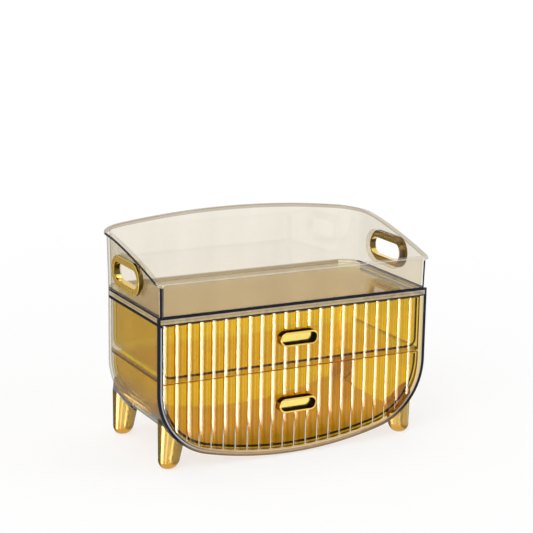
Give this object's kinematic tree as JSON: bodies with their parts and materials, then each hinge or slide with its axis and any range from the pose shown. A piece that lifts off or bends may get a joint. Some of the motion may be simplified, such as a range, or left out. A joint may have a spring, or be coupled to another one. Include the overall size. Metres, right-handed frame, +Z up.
{
  "type": "vanity drawer organizer",
  "caption": "Clear countertop vanity organizer: a U-shaped housing on tapered legs holds fluted amber drawers under an open tray with a high arched back and ringed hand holes.",
  "frame": {"origin": "under the middle of the whole outline, on the surface the legs stand on", "axes": "+X along the width to the right as seen from the front, -Y towards the user in front of the drawers, +Z up"},
  "size_m": [0.2758, 0.141, 0.2036],
  "materials": {
    "clear_plastic": "clear, slightly warm smoke tint, polished",
    "amber_plastic": "clear amber, polished",
    "gold_plate": "gold electroplate over plastic, satin to bright",
    "pad_plastic": "clear, polished",
    "steel": "zinc plated"
  },
  "bodies": {
    "housing": {"housing_shell": "clear_plastic", "mid_shelf": "clear_plastic", "top_tray": "clear_plastic", "grip_ring_left": "gold_plate", "grip_ring_right": "gold_plate", "grip_retainer_left": "gold_plate", "grip_retainer_right": "gold_plate", "leg_front_left": "gold_plate", "leg_front_right": "gold_plate", "leg_rear_left": "gold_plate", "leg_rear_right": "gold_plate", "leg_pad_front_left": "pad_plastic", "leg_pad_front_right": "pad_plastic", "leg_pad_rear_left": "pad_plastic", "leg_pad_rear_right": "pad_plastic", "leg_screw_front_left": "steel", "leg_screw_front_right": "steel", "leg_screw_rear_left": "steel", "leg_screw_rear_right": "steel"},
    "upper_drawer": {"upper_drawer": "amber_plastic", "upper_pull": "gold_plate", "upper_pull_screw_left": "steel", "upper_pull_screw_right": "steel"},
    "lower_drawer": {"lower_drawer": "amber_plastic", "lower_pull": "gold_plate", "lower_pull_screw_left": "steel", "lower_pull_screw_right": "steel"}
  },
  "joints": [
    {"name": "upper_drawer_slide", "type": "slide", "parent": "housing", "child": "upper_drawer", "axis": [0, -1, 0], "range_m": [0, 0.095]},
    {"name": "lower_drawer_slide", "type": "slide", "parent": "housing", "child": "lower_drawer", "axis": [0, -1, 0], "range_m": [0, 0.095]}
  ]
}
